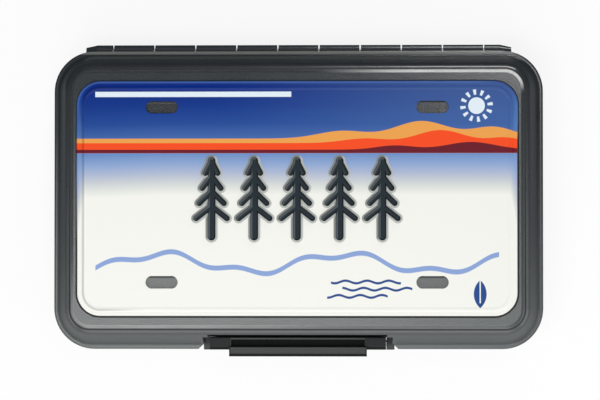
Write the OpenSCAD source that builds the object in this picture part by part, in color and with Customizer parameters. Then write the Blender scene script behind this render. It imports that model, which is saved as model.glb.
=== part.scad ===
// Pocket fly box: two moulded halves on one long hinge, shut by a front latch.
// Millimetres. +Z is up, the hinge is at +Y and the latch at -Y. The origin is the
// middle of the face that the box lies on. All pieces are drawn with the box shut.

/* [Body] */
// Length over the rim flange
box_l = 132; // [116:1:160]
// Width over the rim flange
box_w = 80.5; // [72:0.5:100]
// Height of the base, from its resting face to the parting plane
base_h = 17; // [16:0.5:24]
// Height of the lid, from the parting plane to its top land
lid_h = 16; // [15.5:0.5:24]
// Corner radius of the rim flange in plan
corner_r = 11; // [9.5:0.5:15]
// Gap left between the two rims when the box is shut
parting_gap = 0.1; // [0.06:0.02:0.3]
// How far the rim flange stands out from the wall
flange_out = 1.2; // [0.8:0.1:1.6]
// Thickness of each rim flange
flange_t = 2.9; // [2.7:0.1:3.4]
// Inset of the wall where its upper, flatter slope begins
crease_in = 4.3; // [4:0.1:4.6]
// Depth of that upper slope below the top land
crease_drop = 1.5; // [1:0.25:3]
// Inset of the edge of the top land
land_in = 6.3; // [5.6:0.1:6.6]
// Radius of the shoulder round the top land
shoulder_r = 1.5; // [0.8:0.1:2]
// Inset of the tray's inner wall
tray_in = 6; // [5.6:0.1:6.6]
// Fillet between the tray's wall and its floor
tray_fillet = 1; // [0.6:0.1:1.6]
// Floor thickness of the base
base_floor = 1.8; // [1.4:0.1:2.4]
// Skin of the lid under the plate's pocket
lid_skin = 1.8; // [1.4:0.1:2.4]

/* [Hinge] */
// Radius of the knuckles
knuckle_r = 1.8; // [1.6:0.1:2.2]
// Length from one middle knuckle to the next
knuckle_pitch = 11.15; // [9.5:0.05:11.5]
// Odd number of knuckles, the middle one on the lid
knuckle_count = 11; // [7, 11]
// Length of the tapered end knuckles
end_knuckle_l = 7.4; // [5:0.1:9]
// Taper length at the hinge's two ends
knuckle_taper = 3; // [1:0.5:4]
// Gap between neighbouring knuckles
knuckle_gap = 0.4; // [0.3:0.05:0.6]
// Room round a knuckle in the other half's rim
knuckle_room = 0.3; // [0.2:0.05:0.5]
// Radius of the hinge pin
hinge_pin_r = 0.8; // [0.6:0.05:1]
// How far the rim's back edge stays short of the hinge axis
rim_setback = 0.15; // [0.1:0.05:0.3]

/* [Latch] */
// Width of the lever
lever_w = 47.3; // [36:0.1:60]
// Width of the finger tab
tab_w = 37; // [24:0.5:46]
// Height of the pivot above the resting face
pivot_z = 8; // [7:0.5:9]
// Inset of the pivot from the rim's outer edge
pivot_in = 1.3; // [1.2:0.1:1.5]
// Radius of the lever's barrel
barrel_r = 1.4; // [1.25:0.05:1.4]
// Radius of the latch pin
latch_pin_r = 0.75; // [0.5:0.05:0.8]
// Thickness of the lever's plate
lever_t = 1.5; // [1.2:0.1:1.6]
// How far the lever's face stands proud of the rim
lever_out = 0.1; // [0:0.05:0.4]
// Height of the catch's top above the parting plane
catch_z = 3; // [2.6:0.1:4]
// Height of the catch
catch_h = 1; // [0.8:0.1:1.4]
// Thickness of the hook over the catch
hook_t = 2.4; // [1.8:0.1:3]
// How far the finger tab reaches out past the rim
tab_out = 1.9; // [1.2:0.1:3]
// Height of the finger tab's sloping underside
tab_h = 5.5; // [4:0.5:8]
// Radius of the trough behind the tab's lip
trough_r = 0.95; // [0.6:0.05:1.1]
// Inset of the notch's back wall from the rim's outer edge
notch_in = 3.4; // [3.3:0.05:3.5]
// Extra depth of the lid's notch behind the hook
notch_relief = 0.8; // [0.3:0.05:1]
// Room at each end of the lever
lever_room = 0.25; // [0.15:0.05:0.5]
// Room between the hook and the catch, and behind the hook
hook_room = 0.15; // [0.1:0.05:0.3]
// Thickness of the pivot's ears
ear_t = 2.2; // [1.6:0.1:3]

/* [Seal] */
// Inset of the seal's groove
seal_in = 3.9; // [3.8:0.1:4.2]
// Width of the seal
seal_w = 1.2; // [0.9:0.1:1.3]
// Depth of the seal's seat in the base
seal_depth = 0.9; // [0.6:0.1:1.2]
// How far the seal stands above the parting plane
seal_proud = 0.45; // [0.2:0.05:0.6]
// Room over the seal in the lid's groove
seal_room = 0.15; // [0.1:0.05:0.3]

/* [Foam] */
// Thickness of each foam liner
foam_t = 6; // [4:0.5:7]
// Room between the foam and the tray's wall
foam_room = 0.4; // [0.2:0.1:1]
// Thickness of the adhesive films
film_t = 0.15; // [0.1:0.05:0.3]
// Rows of slits in each liner
slit_rows = 9; // [4:1:12]
// Slits in each row
slit_columns = 4; // [2:1:6]
// Width of a slit
slit_w = 0.5; // [0.3:0.1:0.8]
// Depth of a slit
slit_depth = 3; // [1.5:0.5:3.5]
// Foam left whole between two slits of a row
slit_bridge = 4; // [2:0.5:8]
// Foam left whole round the slits
slit_margin = 6; // [4:0.5:10]

/* [Plate] */
// Length of the decorated plate
plate_l = 117; // [96:0.5:117]
// Width of the plate
plate_w = 62.5; // [52:0.5:65]
// Corner radius of the plate
plate_r = 6.4; // [4:0.1:8]
// Thickness of the plate
plate_t = 1; // [0.7:0.1:1.4]
// Radius of the plate's rounded edge
plate_edge_r = 0.5; // [0.2:0.05:0.6]
// Depth of the lid's pocket that the plate sits in
pocket_depth = 0.5; // [0.3:0.05:0.8]
// Room between the plate and its pocket
pocket_room = 0.25; // [0.1:0.05:0.5]
// Distance of the raised line from the plate's edge
bead_in = 1.9; // [1.5:0.1:3]
// Width of the raised line
bead_w = 1.3; // [0.8:0.1:2]
// Height of the raised line
bead_h = 0.12; // [0.06:0.02:0.3]
// Length of a slot
slot_l = 8.5; // [5:0.1:12]
// Width of a slot
slot_w = 3.3; // [2:0.1:5]
// Slot spacing along the plate
slot_pitch_x = 71.7; // [50:0.1:84]
// Slot spacing across the plate
slot_pitch_y = 46.4; // [38:0.1:48]
// How far the slots' middle lies from the plate's, towards the hinge
slot_shift = 1.1; // [0:0.1:2]

/* [Embossed trees] */
// Number of trees in the row
tree_count = 5; // [1:1:5]
// Distance from tree to tree
tree_pitch = 11.3; // [10:0.1:13]
// Height of a tree
tree_h = 22; // [14:0.5:24]
// Half the width of its lowest boughs
bough_reach = 4.1; // [2:0.1:4.2]
// Width of the embossed strokes
stroke_w = 2; // [1.2:0.1:2.4]
// Height of the embossing
emboss_h = 0.3; // [0.15:0.05:0.4]

/* [Hidden] */
$fn = 64;
eps = 0.01;
end_swell = 0.03;
half_gap = parting_gap / 2;
front_y = -box_w / 2;
hinge_y = box_w / 2;
shut_z = base_h;
lid_top = shut_z + lid_h;
lid_floor = pocket_depth + lid_skin;
pivot_y = front_y + pivot_in;
hook_z = catch_z + hook_room;
lever_top = hook_z + hook_t;
hook_in = notch_in - hook_room;
running_room = 0.05;
hinge_l = (knuckle_count - 2) * knuckle_pitch + 2 * end_knuckle_l;
tray_l = box_l - 2 * tray_in;
tray_w = box_w - 2 * tray_in;
tray_r = corner_r - tray_in;
fillet_reach = tray_fillet - sqrt(pow(tray_fillet, 2) - pow(tray_fillet - film_t, 2));
foam_gap = max(foam_room, fillet_reach + 0.05);
foam_l = tray_l - 2 * foam_gap;
foam_w = tray_w - 2 * foam_gap;
foam_r = tray_r - foam_gap;
film_inset = 2.5;
pocket_l = plate_l + 2 * pocket_room;
pocket_w = plate_w + 2 * pocket_room;
pocket_r = plate_r + pocket_room;
plate_z = lid_top - pocket_depth + film_t;
recess_in = notch_in - 0.4;
recess_low = pivot_z - barrel_r - 0.8;
ear_r = barrel_r + 0.5;
notch_half = lever_w / 2 + lever_room;
notch_wide = notch_half + 1.5;
notch_chamfer = 1.6;

shell_colour = "#4a4f51";
latch_colour = "#1b1d1e";
steel_colour = "#b9bcbf";
seal_colour = "#24272b";
foam_colour = "#dfe3e4";
film_colour = "#c9cdbd";
plate_colour = "#dfe6ef";

// ---------- outlines with true arcs ----------

function unit(v) = v / norm(v);
function corner_angle(a, b, c) = acos(unit(a - b) * unit(c - b));
function tangent_len(a, b, c, r) = r / tan(corner_angle(a, b, c) / 2);
function arc_centre(a, b, c, r) =
    b + unit(unit(a - b) + unit(c - b)) * r / sin(corner_angle(a, b, c) / 2);
function is_convex(a, b, c) = cross(b - a, c - b) > 0;

// The small area between a corner and the arc that rounds it, and a little past the corner
module corner_spandrel(a, b, c, r) {
    reach = tangent_len(a, b, c, r);
    past = b - unit(unit(a - b) + unit(c - b)) * r * 0.2;
    difference() {
        polygon([b + unit(a - b) * reach, past, b + unit(c - b) * reach]);
        translate(arc_centre(a, b, c, r)) circle(r);
    }
}

// A polygon, listed anticlockwise, with one rounding radius for each point
module rounded_outline(points, radii) {
    n = len(points);
    difference() {
        polygon(points);
        for (i = [0:n - 1])
            if (radii[i] > 0 && is_convex(points[(i + n - 1) % n], points[i], points[(i + 1) % n]))
                corner_spandrel(points[(i + n - 1) % n], points[i], points[(i + 1) % n], radii[i]);
    }
    for (i = [0:n - 1])
        if (radii[i] > 0 && !is_convex(points[(i + n - 1) % n], points[i], points[(i + 1) % n]))
            corner_spandrel(points[(i + n - 1) % n], points[i], points[(i + 1) % n], radii[i]);
}

module rounded_rectangle(l, w, r) {
    square([l - 2 * r, w], center = true);
    square([l, w - 2 * r], center = true);
    for (x = [-1, 1], y = [-1, 1])
        translate([x * (l / 2 - r), y * (w / 2 - r)]) circle(r);
}

// A bar from one point to another. Its far end is round and a touch wider than the bar.
module limb(a, b, w) {
    along = b - a;
    translate(a) rotate(atan2(along[1], along[0])) translate([0, -w / 2]) square([norm(along), w]);
    translate(b) circle(w / 2 + end_swell);
}

// The same, round at both ends
module stroke(a, b, w) {
    limb(a, b, w);
    translate(a) circle(w / 2 + end_swell);
}

// Sweeps a section round a rounded rectangle. The section's x is 0 on the outer edge
// and negative inwards, and its y is up.
module swept_round(l, w, r) {
    corners = [[1, 1], [-1, 1], [-1, -1], [1, -1]];
    for (i = [0:3]) {
        straight = i % 2 == 0 ? l - 2 * r : w - 2 * r;
        edge = i % 2 == 0 ? w / 2 : l / 2;
        rotate([0, 0, 90 * i]) rotate([90, 0, 90]) translate([edge, 0, -straight / 2])
            linear_extrude(straight) children();
        translate([corners[i][0] * (l / 2 - r), corners[i][1] * (w / 2 - r), 0])
            rotate([0, 0, 90 * i]) rotate_extrude(angle = 90) translate([r, 0]) children();
    }
}

// ---------- the two moulded halves ----------

// Wall, rim and floor edge of one half, drawn with the parting plane at y = 0
module half_section(h, floor_t, groove_depth) {
    difference() {
        rounded_outline(
            [
                [0, half_gap], [0, flange_t], [-flange_out, flange_t],
                [-crease_in, h - crease_drop], [-land_in, h], [-corner_r, h],
                [-corner_r, h - floor_t], [-tray_in, h - floor_t], [-tray_in, half_gap]
            ],
            [0.25, 0.5, 0.5, 3, shoulder_r, 0, 0, tray_fillet, 0.3]
        );
        translate([-seal_in - seal_w, 0]) square([seal_w, half_gap + groove_depth]);
    }
}

// One half, its parting plane at z = 0 and its floor up
module half_body(h, floor_t, groove_depth) {
    swept_round(box_l, box_w, corner_r) half_section(h, floor_t, groove_depth);
    translate([corner_r - box_l / 2 - eps, corner_r - box_w / 2 - eps, h - floor_t])
        cube([box_l - 2 * corner_r + 2 * eps, box_w - 2 * corner_r + 2 * eps, floor_t]);
}

// Place of a knuckle's first end, counted from the left
function knuckle_edge(i) =
    i == 0 ? -hinge_l / 2 : i == knuckle_count ? hinge_l / 2 : (i - knuckle_count / 2) * knuckle_pitch;
function knuckle_start(i) = knuckle_edge(i) + (i == 0 ? 0 : knuckle_gap / 2);
function knuckle_end(i) = knuckle_edge(i + 1) - (i == knuckle_count - 1 ? 0 : knuckle_gap / 2);

module along_hinge(x) {
    translate([x, hinge_y, 0]) rotate([0, 90, 0]) children();
}

// A knuckle and the web to its rim, x = 0 on the hinge axis and y = 0 on the parting plane
module knuckle_section() {
    root = knuckle_r + knuckle_room + 0.5;
    circle(knuckle_r);
    polygon([[-root, half_gap], [0, half_gap], [0, knuckle_r - 0.1], [-root, flange_t + 0.3]]);
}

// Half of the hinge, for the knuckles numbered first, first + 2 and so on
module knuckles(first) {
    tip_r = hinge_pin_r + 0.35;
    for (i = [first:2:knuckle_count - 1]) {
        x0 = knuckle_start(i) + (i == 0 ? knuckle_taper : 0);
        x1 = knuckle_end(i) - (i == knuckle_count - 1 ? knuckle_taper : 0);
        translate([x0, hinge_y, 0]) rotate([90, 0, 90]) linear_extrude(x1 - x0) knuckle_section();
        if (i == 0)
            along_hinge(knuckle_start(i)) cylinder(h = knuckle_taper, r1 = tip_r, r2 = knuckle_r);
        if (i == knuckle_count - 1)
            along_hinge(x1) cylinder(h = knuckle_taper, r1 = knuckle_r, r2 = tip_r);
    }
}

// Room in a rim for the other half's knuckles. It ends inside the gap before the next one.
module knuckle_clearances(first) {
    side = knuckle_gap / 4;
    depth = knuckle_r + knuckle_room;
    for (i = [first:2:knuckle_count - 1])
        translate([knuckle_edge(i) - side, hinge_y - depth, -depth])
            cube([knuckle_edge(i + 1) - knuckle_edge(i) + 2 * side, 2 * depth, 2 * depth]);
}

module hinge_bore(r) {
    along_hinge(-hinge_l / 2 - 1) cylinder(h = hinge_l + 2, r = r);
}

// Keeps the rim's straight back edge short of the hinge axis
module back_trim(h) {
    translate([-box_l / 2, hinge_y - rim_setback, -eps]) cube([box_l, 2, h]);
}

// The latch's way through the front of one half, with slanted outer corners
module latch_notch(h) {
    translate([0, front_y, -1]) linear_extrude(h + 1 + eps)
        polygon([
            [-notch_wide - notch_chamfer - 1, -1], [notch_wide + notch_chamfer + 1, -1],
            [notch_wide, notch_chamfer], [notch_wide, notch_in],
            [-notch_wide, notch_in], [-notch_wide, notch_chamfer]
        ]);
}

// Room behind the hook, its floor slanted
module hook_relief() {
    translate([-notch_half, front_y + notch_in, 0]) rotate([90, 0, 90]) linear_extrude(2 * notch_half)
        polygon([
            [-1, hook_z], [0, hook_z], [notch_relief, hook_z + 2.5],
            [notch_relief, lid_h + 1], [-1, lid_h + 1]
        ]);
}

module lid_shell() {
    color(shell_colour) translate([0, 0, shut_z]) difference() {
        union() {
            difference() {
                half_body(lid_h, lid_floor, seal_proud + seal_room - half_gap);
                back_trim(lid_h);
                knuckle_clearances(0);
                latch_notch(lid_h);
                hook_relief();
                translate([0, 0, lid_h - pocket_depth]) linear_extrude(pocket_depth + 1)
                    rounded_rectangle(pocket_l, pocket_w, pocket_r);
            }
            knuckles(1);
            catch_ledge();
        }
        hinge_bore(hinge_pin_r + running_room);
    }
}

// The ledge in the notch that the lever's hook lies over, its underside slanted
module catch_ledge() {
    ledge_l = lever_w - 3;
    reach = notch_in - lever_t + lever_out - 0.3;
    translate([-ledge_l / 2, front_y + notch_in, 0]) rotate([90, 0, 90]) linear_extrude(ledge_l)
        polygon([
            [0.3, catch_z - catch_h - reach], [0.3, catch_z], [-reach, catch_z],
            [-reach, catch_z - catch_h], [0, catch_z - catch_h - reach]
        ]);
}

// An ear that carries the latch pin at one end of the lever
module pivot_ear(side) {
    x0 = side > 0 ? notch_half : -notch_half - ear_t;
    depth = tray_in - 0.4 - pivot_in;
    translate([x0, pivot_y, pivot_z]) {
        rotate([0, 90, 0]) cylinder(h = ear_t, r = ear_r);
        translate([0, 0, -ear_r]) cube([ear_t, depth, 2 * ear_r]);
    }
}

module base_shell() {
    recess_half = notch_half + ear_t;
    color(shell_colour) difference() {
        union() {
            difference() {
                translate([0, 0, shut_z]) mirror([0, 0, 1]) difference() {
                    half_body(base_h, base_floor, seal_depth - half_gap);
                    back_trim(base_h);
                    knuckle_clearances(1);
                    latch_notch(flange_t);
                }
                translate([-notch_half, front_y - 1, recess_low])
                    cube([2 * notch_half, recess_in + 1, shut_z - recess_low]);
                translate([-recess_half, front_y - 1, recess_low])
                    cube([2 * recess_half, recess_in + 1, shut_z - flange_t - recess_low]);
            }
            translate([0, 0, shut_z]) mirror([0, 0, 1]) knuckles(0);
            for (side = [-1, 1]) pivot_ear(side);
        }
        translate([0, 0, shut_z]) hinge_bore(hinge_pin_r);
        latch_axis(notch_half + ear_t + 1) cylinder(h = 2 * (notch_half + ear_t + 1), r = latch_pin_r);
    }
}

// ---------- hinge pin, seal ----------

module hinge_pin() {
    pin_l = hinge_l - 0.8;
    color(steel_colour) translate([0, 0, shut_z]) along_hinge(-pin_l / 2) cylinder(h = pin_l, r = hinge_pin_r);
}

// A ring with a rounded crest, seated in the base's groove
module rim_seal() {
    color(seal_colour) translate([0, 0, shut_z])
        swept_round(box_l, box_w, corner_r)
            rounded_outline(
                [
                    [-seal_in - seal_w, -seal_depth], [-seal_in, -seal_depth],
                    [-seal_in, seal_proud], [-seal_in - seal_w, seal_proud]
                ],
                [0, 0, seal_w * 0.35, seal_w * 0.35]
            );
}

// ---------- latch ----------

module latch_axis(x) {
    translate([-x, pivot_y, pivot_z]) rotate([0, 90, 0]) children();
}

// Draws a section of the lever, x outwards from the pivot and y up from it, over a width
module lever_slice(w) {
    translate([w / 2, pivot_y, pivot_z]) rotate([90, 0, -90]) linear_extrude(w) children();
}

module latch_lever() {
    face = pivot_in + lever_out;
    back = face - lever_t;
    hook_back = pivot_in - hook_in;
    hook_low = shut_z + hook_z - pivot_z;
    top = shut_z + lever_top - pivot_z;
    lip = pivot_in + tab_out;
    color(latch_colour) difference() {
        union() {
            lever_slice(lever_w) {
                circle(barrel_r);
                translate([back, 0]) square([lever_t, top - 1]);
                rounded_outline(
                    [[back, hook_low - 2], [face, hook_low - 2], [face, top], [hook_back, top],
                     [hook_back, hook_low], [back, hook_low]],
                    [0, 0, 1.1, 0.2, 0.2, 0.3]
                );
            }
            lever_slice(tab_w)
                rounded_outline(
                    [[face - 0.6, top - tab_h - 0.8], [face, top - tab_h], [lip, top - 1.5],
                     [lip, top + 0.1], [face - 0.9, top + 0.7], [face - 0.9, top - 2]],
                    [0, 1.2, 0.3, 0.5, 0.3, 0]
                );
        }
        lever_slice(tab_w - 1) translate([face - 0.9 - trough_r, top - 0.25]) {
            circle(trough_r);
            translate([-trough_r, 0]) square([2 * trough_r, 1.5]);
        }
        latch_axis(lever_w / 2 + 1) cylinder(h = lever_w + 2, r = latch_pin_r + running_room);
    }
}

module latch_pin() {
    half_l = notch_half + ear_t - 0.2;
    color(steel_colour) latch_axis(half_l) cylinder(h = 2 * half_l, r = latch_pin_r);
}

// ---------- foam liners ----------

// A slit foam block, its glued face at z = 0
module foam_block() {
    field_l = foam_l - 2 * slit_margin;
    field_w = foam_w - 2 * slit_margin;
    slit_l = (field_l - (slit_columns - 1) * slit_bridge) / slit_columns;
    row_pitch = field_w / (slit_rows - 1);
    difference() {
        linear_extrude(foam_t) rounded_rectangle(foam_l, foam_w, foam_r);
        for (i = [0:slit_columns - 1], j = [0:slit_rows - 1])
            translate([i * (slit_l + slit_bridge) - field_l / 2, j * row_pitch - field_w / 2 - slit_w / 2,
                       foam_t - slit_depth])
                cube([slit_l, slit_w, slit_depth + 1]);
    }
}

module adhesive_sheet(l, w, r) {
    linear_extrude(film_t) rounded_rectangle(l, w, r);
}

module base_foam() {
    color(foam_colour) translate([0, 0, base_floor + film_t]) foam_block();
}

module base_foam_film() {
    color(film_colour) translate([0, 0, base_floor])
        adhesive_sheet(foam_l - 2 * film_inset, foam_w - 2 * film_inset, foam_r);
}

module lid_foam() {
    color(foam_colour) translate([0, 0, lid_top - lid_floor - film_t]) mirror([0, 0, 1]) foam_block();
}

module lid_foam_film() {
    color(film_colour) translate([0, 0, lid_top - lid_floor - film_t])
        adhesive_sheet(foam_l - 2 * film_inset, foam_w - 2 * film_inset, foam_r);
}

// ---------- decorated plate ----------

// The plate's edge, rounded on top, with the raised line that runs round it
module plate_section() {
    bead_radius = (bead_w * bead_w / 4 + bead_h * bead_h) / (2 * bead_h);
    rounded_outline(
        [[0, 0], [0, plate_t], [-plate_r, plate_t], [-plate_r, 0]],
        [0, plate_edge_r, 0, 0]
    );
    intersection() {
        translate([-bead_in, plate_t + bead_h - bead_radius]) circle(bead_radius);
        translate([-bead_in - bead_w, plate_t / 2]) square([2 * bead_w, plate_t]);
    }
}

// A stylised pine: a trunk and four pairs of drooping boughs
module tree_outline() {
    foot = -tree_h / 2 + stroke_w / 2;
    tip = tree_h / 2 - stroke_w / 2;
    step = (tip - foot) / 5;
    bough_w = 0.7 * stroke_w;
    stroke([0, foot], [0, tip], stroke_w);
    for (i = [0:3], side = [-1, 1]) {
        root = tip - i * step;
        reach = bough_reach * (0.4 + 0.2 * i);
        limb([0, root], [side * reach, root - 0.8 * step], bough_w);
    }
}

module tree_row() {
    for (i = [0:tree_count - 1])
        translate([(i - (tree_count - 1) / 2) * tree_pitch, 0]) tree_outline();
}

module at_slots() {
    for (x = [-1, 1], y = [-1, 1])
        translate([x * slot_pitch_x / 2, y * slot_pitch_y / 2 + slot_shift, 0]) children();
}

module art_plate() {
    color(plate_colour) translate([0, 0, plate_z]) difference() {
        union() {
            swept_round(plate_l, plate_w, plate_r) plate_section();
            translate([plate_r - plate_l / 2 - eps, plate_r - plate_w / 2 - eps, 0])
                cube([plate_l - 2 * plate_r + 2 * eps, plate_w - 2 * plate_r + 2 * eps, plate_t]);
            translate([0, 0, plate_t / 2]) linear_extrude(plate_t / 2 + emboss_h) tree_row();
        }
        at_slots() translate([0, 0, -1]) linear_extrude(plate_t + 2)
            stroke([-(slot_l - slot_w) / 2, 0], [(slot_l - slot_w) / 2, 0], slot_w);
    }
}

module plate_film() {
    color(film_colour) translate([0, 0, lid_top - pocket_depth]) difference() {
        adhesive_sheet(plate_l - 2 * film_inset, plate_w - 2 * film_inset, plate_r);
        at_slots() translate([-slot_l / 2 - 1, -slot_w / 2 - 1, -1])
            cube([slot_l + 2, slot_w + 2, film_t + 2]);
    }
}

base_shell();
lid_shell();
hinge_pin();
latch_lever();
latch_pin();
rim_seal();
base_foam();
lid_foam();
base_foam_film();
lid_foam_film();
art_plate();
plate_film();
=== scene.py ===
"""Looks of the pocket fly box: its camera, studio, finishes and soft liners."""

import math

import bmesh
import bpy
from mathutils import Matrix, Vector


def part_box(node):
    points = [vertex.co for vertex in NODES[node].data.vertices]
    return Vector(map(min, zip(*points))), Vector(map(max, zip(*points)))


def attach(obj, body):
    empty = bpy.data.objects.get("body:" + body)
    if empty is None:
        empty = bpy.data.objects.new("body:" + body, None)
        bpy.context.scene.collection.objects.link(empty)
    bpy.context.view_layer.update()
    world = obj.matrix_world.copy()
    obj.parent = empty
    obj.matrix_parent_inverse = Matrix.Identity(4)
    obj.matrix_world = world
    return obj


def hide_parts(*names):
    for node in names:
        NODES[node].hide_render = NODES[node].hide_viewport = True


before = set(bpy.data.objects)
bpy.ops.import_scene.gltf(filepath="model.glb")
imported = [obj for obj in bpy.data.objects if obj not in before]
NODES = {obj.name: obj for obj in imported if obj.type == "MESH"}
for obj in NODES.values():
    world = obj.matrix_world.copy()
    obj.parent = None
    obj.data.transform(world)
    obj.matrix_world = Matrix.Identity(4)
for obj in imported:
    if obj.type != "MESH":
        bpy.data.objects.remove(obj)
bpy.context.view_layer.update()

MM = 0.001

# The finishes line up with the places below, in millimetres where nothing else is said.

# The rim's outline, and the line along it at the hinge that carries a painted highlight
RIM_Z = 17.0
RIM_HALF_L = 66.0
RIM_HALF_W = 40.25
RIM_R = 11.0
FRONT_Y = -RIM_HALF_W
RIM_HIGHLIGHT_Y = (RIM_HALF_W - 0.9, RIM_HALF_W)
RIM_HIGHLIGHT_Z = (RIM_Z + 1.5, RIM_Z + 3.1)

# The lid's flat land, the floor of the plate's pocket in it, and the shoulder round the land,
# given as a distance outside the rim's outline
LAND_Z = 33.0
POCKET_Z = 32.5
SHOULDER = (-6.75, -6.0)

# The room behind the latch's hook, and the ears at the lever's ends, where shade is painted
HOOK_ROOM_Y = (-37.0, -35.9)
HOOK_ROOM_Z = (19.9, 22.9)
HOOK_ROOM_HALF_L = 28.0
EARS_X = (23.7, 26.4)
EARS_BACK_Y = -36.5
EARS_Z = (5.0, 11.0)

# The lever: its top, its finger tab, and the hollow before its bar
LEVER_TOP_Z = 22.55
TAB_LIP_Y = -42.15
TAB_HALF_L = 18.5
HOLLOW_Y = (-39.6, -37.5)

# The plate's outline and slots, and the shaded side of its raised line, given as a distance
# outside the outline
PLATE_HALF_L = 58.5
PLATE_HALF_W = 31.25
PLATE_R = 6.4
SLOT_ROWS_Y = (24.3, -22.1)
SLOT_HALF_W = 1.65
BEAD_SHADE = (-2.1, -1.55)

# The row of embossed trees on the plate, the width of the bare slope round a tree, and the step to
# the upper left that tells a tree's sides apart for their painted highlight and shade
TREE_COUNT = 5
TREE_PITCH = 11.3
TREE_HALF_H = 10.0
TRUNK_W = 2.0
BOUGH_W = 1.4
BOUGH_STEP = TREE_HALF_H / 2.5
BOUGH_DROP = 0.8 * BOUGH_STEP
BOUGH_REACHES = (1.64, 2.46, 3.28, 4.1)
SILVER_W = 0.6
SIDE_STEP = 0.25

# The print: how soft its edges are, the y that the sky's fade is drawn out from, and the sky's
# colours by y, from the latch side to the hinge
PRINT_EDGE = 0.16
FADE_Y = 11.0
SKY_STOPS = (
    (-PLATE_HALF_W, "#eeeee7"),
    (0.9, "#eeeee7"),
    (2.7, "#dde0da"),
    (5.0, "#c4c9cf"),
    (7.1, "#a9b5cf"),
    (9.2, "#8da5cd"),
    (11.8, "#6d8ec2"),
    (15.5, "#4469a9"),
    (20.0, "#204893"),
    (25.0, "#083385"),
    (PLATE_HALF_W, "#01247a"),
)

# The sun with its rays, and the rule
SUN_X = 47.5
SUN_Y = 24.6
SUN_R = 2.2
RAY_COUNT = 12
RAY_SPAN = (2.9, 4.3)
RULE_X = (-53.5, -1.5)
RULE_Y = (27.0, 28.4)

# The ridges from far to near: base line, colour, and each swell's middle, half width and height
RIDGES = (
    (15.95, "#e89f4d", ((33, 10, 4.6), (52, 8, 3.0), (12, 9, 2.0))),
    (14.75, "#f24c1e", ((38, 9, 3.4), (55, 6, 1.4), (18, 8, 1.2))),
    (13.0, "#681624", ((46, 9, 2.0), (26, 7, 1.1))),
)
RIDGE_FOOT_Y = 12.1

# The river, the ripples and the leaf, which is the overlap of two discs with a slit for its stem
RIVER_Y = -17.0
RIVER_HALF_L = 53.4
RIVER_HALF_W = 0.66
RIPPLES_X = ((9.0, 27.5), (12.0, 30.5), (8.0, 24.0))
RIPPLES_Y = -22.0
RIPPLE_STEP = 1.9
RIPPLE_HALF_W = 0.32
LEAF_X = 48.4
LEAF_Y = -25.2
LEAF_DISC_R = 4.9
LEAF_DISC_OFF = 3.2
LEAF_STEM_HALF_W = 0.16
LEAF_STEM_LOW = -2.4

# The foam liners, in metres: their rounded corners and edges, the pattern of their slits, how far
# a slit's lips sink, and how near two places count as one
FOAM_CORNER_R = 0.0046
FOAM_EDGE_R = 0.0005
SLIT_ROWS = 9
SLIT_COLUMNS = 4
SLIT_MARGIN = 0.006
SLIT_BRIDGE = 0.004
SLIT_DEPTH = 0.003
SLIT_HALF_W = 0.00022
SLIT_RUN_OUT = 0.0009
LIP_DROP = 0.00018
CLOSE = 1e-6

# The studio's lamps, in metres and watts: place, aim, size and power. The first three hang high,
# then come panels in front, left and right, and a panel and a strip behind the hinge.
LAMPS = {
    "top_softbox": ((-0.105, -0.12, 0.74), (-0.105, -0.12, 0), (0.39, 0.15), 1.95),
    "front_strip": ((-0.08, -0.42, 0.67), (-0.08, -0.037, 0.03), (0.46, 0.50), 1.6),
    "right_patch": ((0.13, 0.13, 0.74), (0.13, 0.13, 0), (0.12, 0.12), 0.35),
    "front_panel": ((0.0, -0.80, 0.32), (0, 0, 0.02), (0.74, 0.56), 3.3),
    "left_panel": ((-0.80, -0.40, 0.22), (0, -0.20, 0), (0.80, 0.36), 2.0),
    "right_panel": ((0.80, -0.40, 0.22), (0, -0.20, 0), (0.80, 0.36), 2.8),
    "back_panel": ((0.20, 0.62, 0.155), (0.03, 0, 0.03), (0.36, 0.12), 1.7),
    "back_strip": ((0.0, 0.60, 0.55), (0, 0, 0.03), (0.80, 0.08), 0.3),
}
PAPER_WHITE = (0.93, 0.93, 0.93, 1)
PURE_WHITE = (1, 1, 1, 1)


def srgb(code):
    """A linear colour from a hex code such as #2a498a."""
    parts = [int(code[i : i + 2], 16) / 255 for i in (1, 3, 5)]
    linear = [c / 12.92 if c <= 0.04045 else ((c + 0.055) / 1.055) ** 2.4 for c in parts]
    return (*linear, 1.0)


# ---------- shader maths ----------


class Signal:
    """A shader value that Python's operators work on."""

    def __init__(self, finish, socket):
        self.finish = finish
        self.socket = socket

    def maths(self, operation, *values):
        return self.finish.node("ShaderNodeMath", {"operation": operation}, dict(enumerate(values)))

    def __add__(self, other):
        return self.maths("ADD", self, other)

    __radd__ = __add__

    def __sub__(self, other):
        return self.maths("SUBTRACT", self, other)

    def __rsub__(self, other):
        return self.maths("SUBTRACT", other, self)

    def __mul__(self, other):
        return self.maths("MULTIPLY", self, other)

    def __truediv__(self, other):
        return self.maths("DIVIDE", self, other)

    def __mod__(self, other):
        return self.maths("FLOORED_MODULO", self, other)

    def __abs__(self):
        return self.maths("ABSOLUTE", self)

    def least(self, other):
        return self.maths("MINIMUM", self, other)

    def most(self, other):
        return self.maths("MAXIMUM", self, other)

    def sine(self):
        return self.maths("SINE", self)

    def exp(self):
        return self.maths("EXPONENT", self)

    def root(self):
        return self.maths("SQRT", self)

    def held(self, low, high):
        return self.most(low).least(high)

    def above(self, level, soft):
        """0 below the level and 1 above it, with a soft step that is that wide."""
        return self.finish.node(
            "ShaderNodeMapRange",
            {"interpolation_type": "SMOOTHSTEP"},
            {"Value": self, "From Min": level - soft / 2, "From Max": level + soft / 2},
        )

    def below(self, level, soft):
        return 1 - self.above(level, soft)

    def between(self, low, high, soft):
        return self.above(low, soft) * self.below(high, soft)


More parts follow.
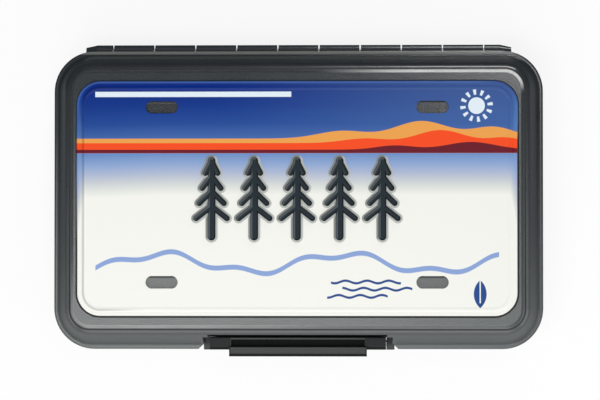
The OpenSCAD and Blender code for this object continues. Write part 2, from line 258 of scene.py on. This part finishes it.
class Finish:
    """A material, built from one Principled shader and the nodes that feed it."""

    def __init__(self, name, colour, roughness, **constants):
        self.material = bpy.data.materials.new(name)
        self.material.use_nodes = True
        self.tree = self.material.node_tree
        self.shader = self.tree.nodes["Principled BSDF"]
        self.shader.inputs["Base Color"].default_value = colour
        self.shader.inputs["Roughness"].default_value = roughness
        for words, value in constants.items():
            socket_name = words.replace("_", " ").title().replace("Ior", "IOR")
            self.shader.inputs[socket_name].default_value = value

    def node(self, kind, settings, inputs, output=0):
        made = self.tree.nodes.new(kind)
        for key, value in settings.items():
            setattr(made, key, value)
        for key, value in inputs.items():
            self.feed(made.inputs[key], value)
        return Signal(self, made.outputs[output])

    def feed(self, socket, value):
        if isinstance(value, Signal):
            self.tree.links.new(value.socket, socket)
        else:
            socket.default_value = value

    def place(self):
        """The point being shaded, in millimetres."""
        metres = self.node("ShaderNodeTexCoord", {}, {}, "Object")
        return self.node("ShaderNodeVectorMath", {"operation": "SCALE"}, {0: metres, "Scale": 1 / MM})

    def axes(self, place):
        """The point's x, y and z."""
        split = self.node("ShaderNodeSeparateXYZ", {}, {0: place})
        return [Signal(self, axis) for axis in split.socket.node.outputs]

    def shortened(self, place, share):
        """The point with its x cut to a share, which draws a texture out along the hinge."""
        return self.node("ShaderNodeVectorMath", {"operation": "MULTIPLY"}, {0: place, 1: (share, 1, 1)})

    def noise(self, place, size, detail=2.0, roughness=0.5):
        """Noise from 0 to 1, with grains of about that size in millimetres."""
        return self.node(
            "ShaderNodeTexNoise",
            {},
            {"Vector": place, "Scale": 1 / size, "Detail": detail, "Roughness": roughness},
        )

    def cells(self, place, size):
        return self.node("ShaderNodeTexVoronoi", {}, {"Vector": place, "Scale": 1 / size})

    def mix(self, factor, first, second):
        inputs = {0: factor, 6: first, 7: second}
        return self.node("ShaderNodeMix", {"data_type": "RGBA"}, inputs, 2)

    def blend(self, factor, first, second):
        """A number that goes from the first to the second as factor goes from 0 to 1."""
        return factor * (second - first) + first

    def ramp(self, value, stops):
        """A colour that runs through the stops, each a place from 0 to 1 and a colour."""
        shade = self.node("ShaderNodeValToRGB", {}, {0: value})
        points = shade.socket.node.color_ramp.elements
        while len(points) < len(stops):
            points.new(0.5)
        for point, (place, colour) in zip(points, stops):
            point.position = place
            point.color = colour
        return shade

    def bump(self, height, strength, distance, over=None):
        inputs = {"Height": height, "Strength": strength, "Distance": distance}
        if over is not None:
            inputs["Normal"] = over
        return self.node("ShaderNodeBump", {}, inputs)

    def off_outline(self, x, y, half_l, half_w, radius):
        """Distance outside a rounded rectangle round the middle: negative inside it."""
        past_x = (abs(x) - (half_l - radius)).most(0.0)
        past_y = (abs(y) - (half_w - radius)).most(0.0)
        return (past_x * past_x + past_y * past_y).root() - radius

    def lit(self):
        return Signal(self, self.shader.outputs[0])

    def set(self, socket, value):
        self.feed(self.shader.inputs[socket], value)


# ---------- finishes of the case and its latch ----------


def painted_shoulder_highlights(finish, shade, x, y, z, grain, drift):
    """Adds painted highlights along the lid's shoulder: a dull one towards the latch at the left, a
    bright one at the upper right.
    """
    off_rim = finish.off_outline(x, y, RIM_HALF_L, RIM_HALF_W, RIM_R)
    shoulder = off_rim.between(*SHOULDER, 0.25) * z.above(LAND_Z - 1.0, 0.2)
    front_left_highlight = y.below(-22.0, 24.0) * x.below(-10.0, 60.0) * (drift * 0.5 + 0.3)
    shade = finish.mix(shoulder * front_left_highlight, shade, srgb("#969996"))
    upper_right_highlight = x.above(20.0, 34.0) * y.above(30.0, 4.0) * (drift * 0.5 + 0.6 - grain * 0.15)
    return finish.mix(shoulder * upper_right_highlight, shade, srgb("#eceeeb"))


def painted_shade_places(finish, x, y, z, pocket):
    """Painted shade, 1 where little light gets in: behind the hook, round the plate, in its slots, at
    the ears.
    """
    behind_hook = z.between(*HOOK_ROOM_Z, 0.1) * y.between(*HOOK_ROOM_Y, 0.1)
    behind_hook = behind_hook * abs(x).below(HOOK_ROOM_HALF_L, 0.5)
    off_plate = finish.off_outline(x, y, PLATE_HALF_L, PLATE_HALF_W, PLATE_R)
    gap = pocket * off_plate.above(-0.2, 0.2)
    for row in SLOT_ROWS_Y:
        under_edge = y.between(row + SLOT_HALF_W - 0.45, row + SLOT_HALF_W + 0.35, 0.5)
        gap = gap.most(pocket * under_edge)
    ears = z.between(*EARS_Z, 0.2) * y.below(EARS_BACK_Y, 0.3) * abs(x).between(*EARS_X, 0.1)
    return behind_hook.most(gap * 0.85).most(ears * 0.7)


def moulded_grey():
    """Satin grey plastic: smooth on the slopes, spark-eroded grain on the land and the pocket."""
    finish = Finish("moulded_grey", srgb("#2a2f32"), 0.21, specular_ior_level=0.6)
    place = finish.place()
    x, y, z = finish.axes(place)
    pocket = z.between(POCKET_Z - 0.2, POCKET_Z + 0.15, 0.1)
    grained = z.above(POCKET_Z + 0.15, 0.3).most(pocket)
    grain = finish.noise(place, 0.32, 1.0).above(0.5, 0.36)
    drift = finish.noise(place, 9.0)
    orange_peel = finish.noise(place, 1.4)
    shade = finish.mix(drift, srgb("#262b2e"), srgb("#2e3336"))
    shade = finish.mix(grained * grain * 0.9, shade, srgb("#383d3f"))

    # Less glossy towards the latch and paler there with a painted sheen, and a painted highlight along
    # the rim at the hinge
    matt_with_painted_sheen = y.below(0.0, 90.0)
    shade = finish.mix(matt_with_painted_sheen * matt_with_painted_sheen * 0.85, shade, srgb("#4c5150"))
    rim_highlight = z.between(*RIM_HIGHLIGHT_Z, 0.1) * y.between(*RIM_HIGHLIGHT_Y, 0.3)
    shade = finish.mix(rim_highlight * 0.85, shade, srgb("#7c7f7c"))
    shade = painted_shoulder_highlights(finish, shade, x, y, z, grain, drift)

    painted_shade = painted_shade_places(finish, x, y, z, pocket)
    # Painted shade darkens the base colour where little light gets in
    finish.set("Base Color", finish.mix(painted_shade, shade, srgb("#0b0c0d")))
    satin = finish.blend(matt_with_painted_sheen, 0.2, 0.37) - grained * 0.04 + (drift - 0.5) * 0.05
    finish.set("Roughness", finish.blend(painted_shade, satin, 0.8))
    fine = finish.bump(orange_peel, 0.03, 0.0003)
    finish.set("Normal", finish.bump(grain * grained, 0.08, 0.00012, fine))
    return finish.material


def moulded_black():
    """Black latch plastic, with fine lines moulded in the face of the finger tab."""
    finish = Finish("moulded_black", srgb("#17191b"), 0.34, specular_ior_level=0.38)
    place = finish.place()
    x, y, z = finish.axes(place)
    lip_y = TAB_LIP_Y + 0.75
    ends = abs(x).above(TAB_HALF_L - 0.4, 0.2)
    face = z.above(LEVER_TOP_Z - 0.1, 0.15) * y.above(lip_y, 0.15) * (1 - ends)
    hollow = y.between(*HOLLOW_Y, 0.1) * abs(x).below(TAB_HALF_L - 0.5, 0.05) * (1 - face)
    # Painted shade: the hollow before the bar, the tab's lip and the bar's outer corners are darkened
    # and dulled
    lip = y.below(lip_y, 0.3)
    corner = abs(x).above(TAB_HALF_L + 0.05, 0.1) * y.below(FRONT_Y + 0.75, 0.4)
    shaded = hollow.most(lip).most(corner)
    grain = finish.noise(place, 0.3, 3.0, 0.6)
    lines = (z * 12.0 + y * 5.0).sine() * 0.5 + 0.5
    texture = face * (grain * 0.7 + lines * 0.3)
    shade = finish.mix(texture, srgb("#131517"), srgb("#242625"))
    finish.set("Base Color", finish.mix(shaded, shade, srgb("#08090b")))
    dull = shaded.most(ends * 0.6)
    finish.set("Roughness", finish.blend(dull, finish.blend(face, 0.3, 0.4), 0.9))
    finish.set("Normal", finish.bump(texture, 0.3, 0.0001))
    return finish.material


def drawn_steel():
    """Bright wire with faint draw lines along its length."""
    finish = Finish("drawn_steel", srgb("#b9bcbf"), 0.26, metallic=1.0)
    lines = finish.noise(finish.shortened(finish.place(), 0.06), 0.12, 3.0)
    finish.set("Base Color", finish.mix(lines, srgb("#a9acb0"), srgb("#c6c9cc")))
    finish.set("Roughness", finish.blend(lines, 0.2, 0.36))
    finish.set("Normal", finish.bump(lines, 0.12, 0.00003))
    return finish.material


def seal_rubber():
    """Soft black rubber with a dusty bloom."""
    finish = Finish("seal_rubber", srgb("#24272b"), 0.6)
    place = finish.place()
    bloom = finish.noise(place, 2.5, 4.0, 0.6)
    finish.set("Base Color", finish.mix(bloom, srgb("#1e2124"), srgb("#2f3336")))
    finish.set("Roughness", finish.blend(bloom, 0.5, 0.72))
    finish.set("Normal", finish.bump(finish.noise(place, 0.25), 0.2, 0.00005))
    return finish.material


def cell_foam():
    """Pale closed-cell foam: small bubbles cut open at the skin."""
    finish = Finish("cell_foam", srgb("#dfe3e4"), 0.85, sheen_weight=0.15)
    place = finish.place()
    bubbles = finish.cells(place, 0.55)
    fine = finish.cells(place, 0.28)
    tint = finish.noise(place, 14.0)
    shade = finish.mix(tint, srgb("#d3d8da"), srgb("#e4e7e8"))
    finish.set("Base Color", finish.mix(bubbles.above(0.5, 0.5) * 0.4, shade, srgb("#b9c0c3")))
    finish.set("Roughness", finish.blend(bubbles, 0.78, 0.95))
    finish.set("Normal", finish.bump(bubbles * 0.7 + fine * 0.3, 0.35, 0.00015))
    return finish.material


def adhesive_film():
    """Waxy double-sided film."""
    finish = Finish("adhesive_film", srgb("#c9cdbd"), 0.45)
    streaks = finish.noise(finish.shortened(finish.place(), 0.2), 3.0, 3.0)
    finish.set("Base Color", finish.mix(streaks, srgb("#bfc4b2"), srgb("#d2d5c6")))
    finish.set("Roughness", finish.blend(streaks, 0.35, 0.6))
    return finish.material


# ---------- the plate's print and embossing ----------


def limb_distance(along, across, start, end):
    """Distance from the point to the line between two points of a drawing, in millimetres."""
    run = (end[0] - start[0], end[1] - start[1])
    length_squared = run[0] ** 2 + run[1] ** 2
    from_x = along - start[0]
    from_y = across - start[1]
    share = ((from_x * run[0] + from_y * run[1]) / length_squared).held(0.0, 1.0)
    off_x = from_x - share * run[0]
    off_y = from_y - share * run[1]
    return (off_x * off_x + off_y * off_y).root()


def tree_distance(x, y):
    """Distance outside the embossed trees' outlines: negative on a tree."""
    row_half = TREE_COUNT * TREE_PITCH / 2
    fold = abs((x + row_half) % TREE_PITCH - TREE_PITCH / 2)
    nearest = limb_distance(fold, y, (0, -TREE_HALF_H), (0, TREE_HALF_H)) - TRUNK_W / 2
    for i, reach in enumerate(BOUGH_REACHES):
        root_y = TREE_HALF_H - i * BOUGH_STEP
        bough = limb_distance(fold, y, (0, root_y), (reach, root_y - BOUGH_DROP)) - BOUGH_W / 2
        nearest = nearest.least(bough)
    return nearest + abs(x).above(row_half, 0.1) * 100


def hill(x, centre, half_width, height):
    """One smooth swell of a ridge line."""
    offset = (x - centre) / half_width
    return (0 - offset * offset).exp() * height


def sky(finish, x, y):
    """Navy at the hinge that fades to bare white just above the plate's middle."""
    stops = [((level + PLATE_HALF_W) / (2 * PLATE_HALF_W), srgb(code)) for level, code in SKY_STOPS]
    # The fade is drawn out over the plate's short edges and reaches lower at its left end
    spread = 1 - (abs(x) - 56.3).held(0, 1.6) * 0.28
    sink = x.below(-44.0, 26.0) * 0.7
    fade = (y - FADE_Y) * spread + FADE_Y + sink
    shade = finish.ramp((fade + PLATE_HALF_W) / (2 * PLATE_HALF_W), stops)
    # The sky is paler towards the upper right
    paler_upper_right = x.above(12.0, 80.0) * y.above(17.0, 16.0)
    return finish.mix(paler_upper_right * 0.1, shade, srgb("#a9dbf9"))


def sun_and_rule(finish, shade, x, y):
    """Adds the sun, a disc with rays, and the rule to its left."""
    sun_x = x - SUN_X
    sun_y = y - SUN_Y
    sun_far = (sun_x * sun_x + sun_y * sun_y).root()
    disc = sun_far.below(SUN_R, PRINT_EDGE)
    turn = sun_y.maths("ARCTAN2", sun_y, sun_x)
    rays = (turn * RAY_COUNT).sine().above(0.35, 0.7) * sun_far.between(*RAY_SPAN, PRINT_EDGE)
    rule = x.between(*RULE_X, PRINT_EDGE) * y.between(*RULE_Y, PRINT_EDGE)
    return finish.mix(disc.most(rays).most(rule), shade, srgb("#dfeaf1"))


def ridges(finish, shade, x, y):
    """Adds the ridges, one before the other, on a level foot."""
    foot = y.above(RIDGE_FOOT_Y, PRINT_EDGE)
    for base_y, code, swells in RIDGES:
        ridge_y = sum(hill(x, *swell) for swell in swells) + base_y
        on_ridge = (ridge_y - y).above(0.0, PRINT_EDGE) * foot
        shade = finish.mix(on_ridge, shade, srgb(code))
    return shade


def river(finish, shade, x, y):
    """Adds the winding river under the trees."""
    river_y = (x * 0.13).sine() * 2.3 + (x * 0.37 + 1.0).sine() * 0.9 + RIVER_Y
    off_river = abs(y - river_y)
    water = off_river.below(RIVER_HALF_W, PRINT_EDGE) * abs(x).below(RIVER_HALF_L, PRINT_EDGE)
    return finish.mix(water, shade, srgb("#88a1d1"))


def ripples_and_leaf(finish, shade, x, y):
    """Adds the ripples and the leaf, in navy."""
    navy = srgb("#224788")
    for i, span in enumerate(RIPPLES_X):
        ripple_y = (x * 1.1 + i).sine() * 0.35 + (RIPPLES_Y - RIPPLE_STEP * i)
        ripple = abs(y - ripple_y).below(RIPPLE_HALF_W, PRINT_EDGE) * x.between(*span, PRINT_EDGE)
        shade = finish.mix(ripple, shade, navy)
    leaf_x = abs(x - LEAF_X)
    leaf_y = y - LEAF_Y
    disc_x = leaf_x + LEAF_DISC_OFF
    blade = (disc_x * disc_x + leaf_y * leaf_y).root().below(LEAF_DISC_R, PRINT_EDGE)
    stem = leaf_x.below(LEAF_STEM_HALF_W, 0.1) * leaf_y.above(LEAF_STEM_LOW, 0.2)
    return finish.mix(blade * (1 - stem), shade, navy)


def embossed_trees(finish, shade, x, y, off_tree, inked, speckle):
    """Adds the trees: slate tops, black edges with a painted highlight at the upper left, and a bare
    silvery slope with painted shade at the upper left.
    """
    # Painted light and shade by side: the ink's edges are lighter and the silver slope darker at the
    # upper left
    further = tree_distance(x - SIDE_STEP, y + SIDE_STEP) - off_tree
    upper_left = further.above(0.12, 0.24)
    silver = finish.mix(upper_left, srgb("#b4b7b3"), srgb("#898b87"))
    shade = finish.mix(off_tree.below(SILVER_W, 0.3), shade, silver)
    top = off_tree.below(-0.28, 0.2) * (speckle * 0.6 + 0.6)
    ink = finish.mix(top, srgb("#0b0e11"), srgb("#263036"))
    edge_highlight = off_tree.between(-0.52, -0.08, 0.2) * upper_left
    ink = finish.mix(edge_highlight * 0.8, ink, srgb("#596165"))
    return finish.mix(inked, shade, ink)


def plate_edges(finish, shade, x, y):
    """Adds the plate's edge, with painted shade low down and at the right and a painted blue highlight
    at the top, and the raised line's painted shade.
    """
    off_plate = finish.off_outline(x, y, PLATE_HALF_L, PLATE_HALF_W, PLATE_R)
    # Painted shade along the plate's edge low down and at the right, and a painted highlight along its
    # top
    low_side = y.below(0.0, 30.0)
    right_side = x.above(57.5, 0.5) * y.below(18.0, 8.0)
    shaded_plate_rim = off_plate.above(-0.3, 0.16) * low_side.most(right_side)
    shade = finish.mix(shaded_plate_rim, shade, srgb("#3f4140"))
    lit_rim = off_plate.above(-0.6, 0.4) * y.above(24.0, 8.0) * x.below(50.0, 8.0)
    shade = finish.mix(lit_rim * 0.6, shade, srgb("#4f74b3"))
    shaded_bead = off_plate.between(*BEAD_SHADE, 0.3) * x.below(-46.0, 16.0)
    return finish.mix(shaded_bead * 0.34, shade, srgb("#1a1b1a"))


def printed_plate():
    """The plate's print: a sky that fades to white, layered hills, a river and a row of trees."""
    finish = Finish("printed_plate", srgb("#f4f4ef"), 0.4, specular_ior_level=0.05, coat_roughness=0.25)
    place = finish.place()
    x, y = finish.axes(place)[:2]
    speckle = finish.noise(place, 0.5)
    off_tree = tree_distance(x, y)
    inked = off_tree.below(0.04, 0.12)
    shade = sky(finish, x, y)
    shade = sun_and_rule(finish, shade, x, y)
    shade = ridges(finish, shade, x, y)
    shade = river(finish, shade, x, y)
    shade = ripples_and_leaf(finish, shade, x, y)
    shade = embossed_trees(finish, shade, x, y, off_tree, inked, speckle)
    finish.set("Base Color", plate_edges(finish, shade, x, y))
    finish.set("Roughness", (speckle - 0.5) * 0.08 + 0.4)
    finish.set("Coat Weight", finish.blend(inked, 0.08, 0.0))
    fine = finish.bump(speckle, 0.05, 0.0002)
    finish.set("Normal", finish.bump(off_tree.below(0.25, 0.7), 0.35, 0.0002, fine))
    return finish.material


def dress_node(node, material):
    """Gives a CAD node its finish."""
    slots = NODES[node].data.materials
    slots.clear()
    slots.append(material)


def object_from(bm, name, material):
    """Turns a finished mesh into an object of the scene."""
    mesh = bpy.data.meshes.new(name)
    bm.to_mesh(mesh)
    bm.free()
    mesh.materials.append(material)
    made = bpy.data.objects.new(name, mesh)
    bpy.context.scene.collection.objects.link(made)
    return made


# ---------- soft liners ----------


def round_edges(bm, edges, radius, steps):
    bmesh.ops.bevel(
        bm, geom=edges, offset=radius, segments=steps, affect="EDGES", profile=0.5, material=-1
    )


def soft_sheet(size):
    """A sheet of that size round the origin, with round corners and a softened upper edge."""
    bm = bmesh.new()
    bmesh.ops.create_cube(bm, size=1.0)
    bmesh.ops.scale(bm, vec=size, verts=bm.verts)
    corners = [e for e in bm.edges if abs(e.verts[0].co.z - e.verts[1].co.z) > size.z / 2]
    round_edges(bm, corners, FOAM_CORNER_R, 8)
    skin = [e for e in bm.edges if all(v.co.z > 0 for v in e.verts)]
    round_edges(bm, skin, FOAM_EDGE_R, 3)
    return bm


def slit_places(size):
    """The y of each row of slits, the x at which its slits start, and a slit's length."""
    field_l = size.x - 2 * SLIT_MARGIN
    field_w = size.y - 2 * SLIT_MARGIN
    slit_l = (field_l - (SLIT_COLUMNS - 1) * SLIT_BRIDGE) / SLIT_COLUMNS
    rows = [j * field_w / (SLIT_ROWS - 1) - field_w / 2 for j in range(SLIT_ROWS)]
    starts = [i * (slit_l + SLIT_BRIDGE) - field_l / 2 for i in range(SLIT_COLUMNS)]
    return rows, starts, slit_l


def cut_across(bm, place, across):
    bmesh.ops.bisect_plane(
        bm, geom=bm.verts[:] + bm.edges[:] + bm.faces[:], plane_co=place, plane_no=across
    )


def cut_slit_lines(bm, rows, starts, slit_l):
    """Draws the edges that the slits need: along each row and across each slit's ends."""
    for row in rows:
        for offset in (-4 * SLIT_HALF_W, -SLIT_HALF_W, 0, SLIT_HALF_W, 4 * SLIT_HALF_W):
            cut_across(bm, (0, row + offset, 0), (0, 1, 0))
    for start in starts:
        for offset in (0, SLIT_RUN_OUT, slit_l - SLIT_RUN_OUT, slit_l):
            cut_across(bm, (start + offset, 0, 0), (1, 0, 0))


def open_slits(bm, skin_z, rows, starts, slit_l):
    """Sinks the middle of each slit into the sheet, and its two lips a little."""
    for vert in [v for v in bm.verts if abs(v.co.z - skin_z) < CLOSE]:
        in_slit = any(s + CLOSE < vert.co.x < s + slit_l - CLOSE for s in starts)
        gap = min(abs(vert.co.y - row) for row in rows)
        if in_slit and gap < CLOSE:
            vert.co.z -= SLIT_DEPTH
        elif in_slit and abs(gap - SLIT_HALF_W) < CLOSE:
            vert.co.z -= LIP_DROP


def slit_foam(node, body, material, face_up):
    """A foam liner: a sheet with softened edges, its slits opening a little at the skin."""
    low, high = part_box(node)
    size = high - low
    bm = soft_sheet(size)
    rows, starts, slit_l = slit_places(size)
    cut_slit_lines(bm, rows, starts, slit_l)
    open_slits(bm, size.z / 2, rows, starts, slit_l)
    if not face_up:
        bmesh.ops.scale(bm, vec=(1, 1, -1), verts=bm.verts)
    bmesh.ops.translate(bm, vec=(low + high) / 2, verts=bm.verts)
    bmesh.ops.recalc_face_normals(bm, faces=bm.faces)
    piece = object_from(bm, node + "_sheet", material)
    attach(piece, body)
    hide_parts(node)


# ---------- studio ----------


def table_paper():
    """White paper to the camera. To the box's slopes it shows painted shade, grey in front and dark
    behind.
    """
    finish = Finish("table_paper", PAPER_WHITE, 0.9, specular_ior_level=0.1)
    y = finish.axes(finish.place())[1]
    camera_ray = finish.node("ShaderNodeLightPath", {}, {}, "Is Camera Ray")
    in_front = (0.40, 0.40, 0.40, 1)
    beside = (0.15, 0.16, 0.17, 1)
    behind = (0.05, 0.055, 0.06, 1)
    paper = finish.mix(y.above(-25.0, 40.0), in_front, beside)
    paper = finish.mix(y.above(38.0, 20.0), paper, behind)
    finish.set("Base Color", finish.mix(camera_ray, paper, PAPER_WHITE))
    bright = finish.node("ShaderNodeEmission", {}, {"Color": PURE_WHITE, "Strength": 1.0})
    seen = finish.node("ShaderNodeMixShader", {}, {0: camera_ray * 0.85, 1: finish.lit(), 2: bright})
    finish.feed(finish.tree.nodes["Material Output"].inputs["Surface"], seen)
    return finish.material


def studio_floor():
    """A plain table top under the box."""
    bm = bmesh.new()
    bmesh.ops.create_grid(bm, x_segments=1, y_segments=1, size=3.0)
    floor = object_from(bm, "table_top", table_paper())


def soft_lamp(name, place, aim, size, power):
    data = bpy.data.lights.new(name, "AREA")
    data.shape = "RECTANGLE"
    data.size, data.size_y = size
    data.energy = power
    lamp = bpy.data.objects.new(name, data)
    bpy.context.scene.collection.objects.link(lamp)
    lamp.location = place
    lamp.rotation_euler = (Vector(aim) - Vector(place)).to_track_quat("-Z", "Y").to_euler()


def studio_air():
    """Faint, cool light from all round, and pure white behind the box for the camera."""
    world = bpy.data.worlds.new("studio_air")
    bpy.context.scene.world = world
    world.use_nodes = True
    tree = world.node_tree
    lit = tree.nodes["Background"]
    lit.inputs["Color"].default_value = (0.80, 0.84, 0.90, 1)
    lit.inputs["Strength"].default_value = 0.14
    seen = tree.nodes.new("ShaderNodeBackground")
    seen.inputs["Color"].default_value = PURE_WHITE
    path = tree.nodes.new("ShaderNodeLightPath")
    either = tree.nodes.new("ShaderNodeMixShader")
    tree.links.new(path.outputs["Is Camera Ray"], either.inputs[0])
    tree.links.new(lit.outputs[0], either.inputs[1])
    tree.links.new(seen.outputs[0], either.inputs[2])
    tree.links.new(either.outputs[0], tree.nodes["World Output"].inputs["Surface"])


def photo_camera():
    """Straight above the shut box, a little to the right and towards the latch."""
    picture_px = 600
    rim_px = 487.3
    away = 0.70
    aside = Vector((0.0172, -0.0139))
    aim = Vector((0.00042, 0.0, RIM_Z * MM))
    data = bpy.data.cameras.new("photo_camera")
    data.sensor_width = 36.0
    data.lens = data.sensor_width * away * rim_px / (2 * RIM_HALF_L * MM * picture_px)
    camera = bpy.data.objects.new("photo_camera", data)
    bpy.context.scene.collection.objects.link(camera)
    camera.location = (aside.x, aside.y, aim.z + away)
    reach = camera.location - aim
    camera.rotation_euler = (math.atan2(-reach.y, reach.z), math.atan2(reach.x, reach.z), 0)
    bpy.context.scene.camera = camera


# ---------- the scene ----------

bpy.context.scene.view_settings.view_transform = "Standard"
photo_camera()
studio_floor()
for lamp_name, lamp in LAMPS.items():
    soft_lamp(lamp_name, *lamp)
studio_air()

grey = moulded_grey()
steel = drawn_steel()
foam = cell_foam()
film = adhesive_film()
for node in ("base_shell", "lid_shell"):
    dress_node(node, grey)
for node in ("hinge_pin", "latch_pin"):
    dress_node(node, steel)
for node in ("base_foam_film", "lid_foam_film", "plate_film"):
    dress_node(node, film)
dress_node("latch_lever", moulded_black())
dress_node("rim_seal", seal_rubber())
dress_node("art_plate", printed_plate())
slit_foam("base_foam", "base", foam, face_up=True)
slit_foam("lid_foam", "lid", foam, face_up=False)
